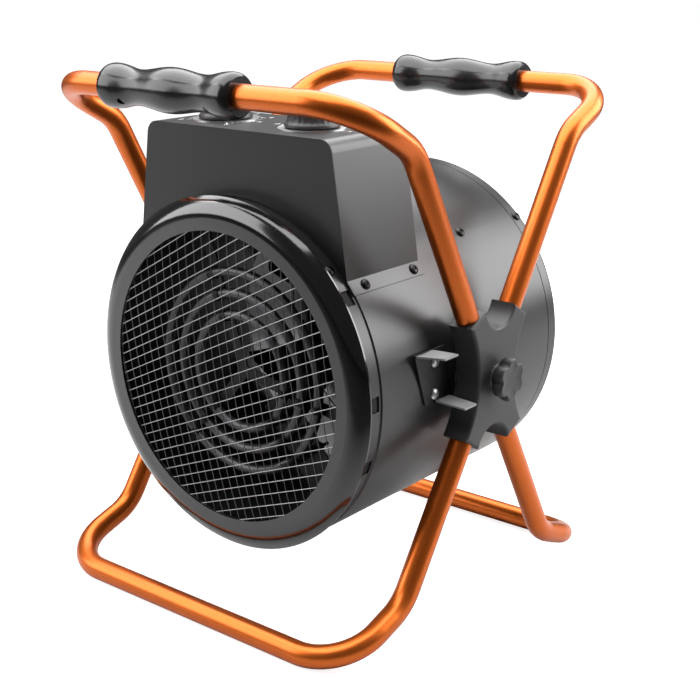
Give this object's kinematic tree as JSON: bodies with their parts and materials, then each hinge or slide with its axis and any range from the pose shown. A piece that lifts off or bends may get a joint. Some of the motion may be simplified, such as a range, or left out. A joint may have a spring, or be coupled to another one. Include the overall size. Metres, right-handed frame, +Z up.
{
  "type": "drum fan heater on tubular stand",
  "caption": "Industrial electric fan heater: black drum with mesh outlet, control box with two knobs, and an orange tubular X-stand that the drum tilts in",
  "frame": {"origin": "on the floor, under the middle of the pivot line", "axes": "x along the pivot line towards the right clamp knob seen from behind the outlet, y from the outlet to the rear grille, z up"},
  "size_m": [0.373, 0.3892, 0.4466],
  "materials": {
    "frame_paint": "metallic orange satin",
    "hub_plastic": "matte",
    "grip_plastic": "gloss",
    "drum_paint": "satin",
    "plate_paint": "matte",
    "bezel_paint": "gloss",
    "guard_steel": "satin",
    "element_steel": "dull, heat darkened",
    "bright_steel": "zinc plated",
    "fan_aluminium": "mill",
    "motor_paint": "satin",
    "boss_alloy": "cast",
    "knob_plastic": "satin",
    "dial_aluminium": "printed plate",
    "black_screw": "black oxide",
    "switch_plastic": "matte"
  },
  "bodies": {
    "stand": {"front_foot_tube": "frame_paint", "front_grip_inner": "grip_plastic", "front_grip_outer": "grip_plastic", "front_handle_tube": "frame_paint", "grip_screws": "black_screw", "hub_screws": "black_screw", "left_hub_inner": "hub_plastic", "left_hub_outer": "hub_plastic", "rear_foot_tube": "frame_paint", "rear_grip_inner": "grip_plastic", "rear_grip_outer": "grip_plastic", "rear_handle_tube": "frame_paint", "right_hub_inner": "hub_plastic", "right_hub_outer": "hub_plastic"},
    "drum": {"back_plate": "drum_paint", "bezel_collar": "plate_paint", "box_cover": "drum_paint", "cable_gland": "switch_plastic", "control_nuts": "bright_steel", "drum_screws": "black_screw", "drum_shell": "drum_paint", "element_clips": "bright_steel", "element_support": "bright_steel", "fan_motor": "motor_paint", "front_bezel": "bezel_paint", "front_mesh_guard": "guard_steel", "front_plate": "plate_paint", "gland_locknut": "switch_plastic", "guard_retainer": "guard_steel", "inner_duct": "bright_steel", "inner_heating_element": "element_steel", "left_pivot_boss": "boss_alloy", "left_tilt_stop": "bright_steel", "middle_heating_element": "element_steel", "motor_bracket": "bright_steel", "outer_heating_element": "element_steel", "pivot_nuts": "bright_steel", "rear_grille": "plate_paint", "rear_ring": "drum_paint", "right_pivot_boss": "boss_alloy", "right_tilt_stop": "bright_steel", "selector_body": "switch_plastic", "selector_dial": "dial_aluminium", "stop_screws": "bright_steel", "terminal_block": "switch_plastic", "terminal_plate": "bright_steel", "thermal_cutout": "switch_plastic", "thermostat_body": "switch_plastic", "thermostat_dial": "dial_aluminium"},
    "fan": {"fan_nut": "bright_steel", "fan_wheel": "fan_aluminium", "motor_shaft": "bright_steel"},
    "thermostat_control": {"thermostat_knob": "knob_plastic", "thermostat_shaft": "bright_steel"},
    "selector_control": {"selector_knob": "knob_plastic", "selector_shaft": "bright_steel"},
    "right_washer": {"right_clamp_washer": "bright_steel"},
    "right_knob": {"right_clamp_knob": "hub_plastic"},
    "left_washer": {"left_clamp_washer": "bright_steel"},
    "left_knob": {"left_clamp_knob": "hub_plastic"}
  },
  "joints": [
    {"name": "drum_tilt", "type": "hinge", "parent": "stand", "child": "drum", "pos_m": [0, 0, 0.206], "axis": [1, 0, 0], "range_deg": [-20, 13.5]},
    {"name": "fan_spin", "type": "hinge", "parent": "drum", "child": "fan", "pos_m": [0, 0, 0.206], "axis": [0, -0.999, -0.0454], "continuous": true},
    {"name": "thermostat_turn", "type": "hinge", "parent": "drum", "child": "thermostat_control", "pos_m": [-0.052, -0.084, 0.40239], "axis": [0, -0.0454, 0.999], "range_deg": [0, 270]},
    {"name": "selector_turn", "type": "hinge", "parent": "drum", "child": "selector_control", "pos_m": [0.042, -0.084, 0.40239], "axis": [0, -0.0454, 0.999], "range_deg": [0, 180]},
    {"name": "right_clamp_travel", "type": "slide", "parent": "stand", "child": "right_washer", "axis": [1, 0, 0], "range_m": [0, 0.00125]},
    {"name": "right_clamp_turn", "type": "hinge", "parent": "right_washer", "child": "right_knob", "pos_m": [0.18, 0, 0.206], "axis": [1, 0, 0], "range_deg": [0, 360]},
    {"name": "left_clamp_travel", "type": "slide", "parent": "stand", "child": "left_washer", "axis": [-1, 0, 0], "range_m": [0, 0.00125]},
    {"name": "left_clamp_turn", "type": "hinge", "parent": "left_washer", "child": "left_knob", "pos_m": [-0.18, 0, 0.206], "axis": [-1, 0, 0], "range_deg": [0, 360]}
  ],
  "couplings": [
    {"joint": "right_clamp_turn", "follows": "right_clamp_travel", "rad_per_m": 5026.5},
    {"joint": "left_clamp_turn", "follows": "left_clamp_travel", "rad_per_m": 5026.5}
  ]
}
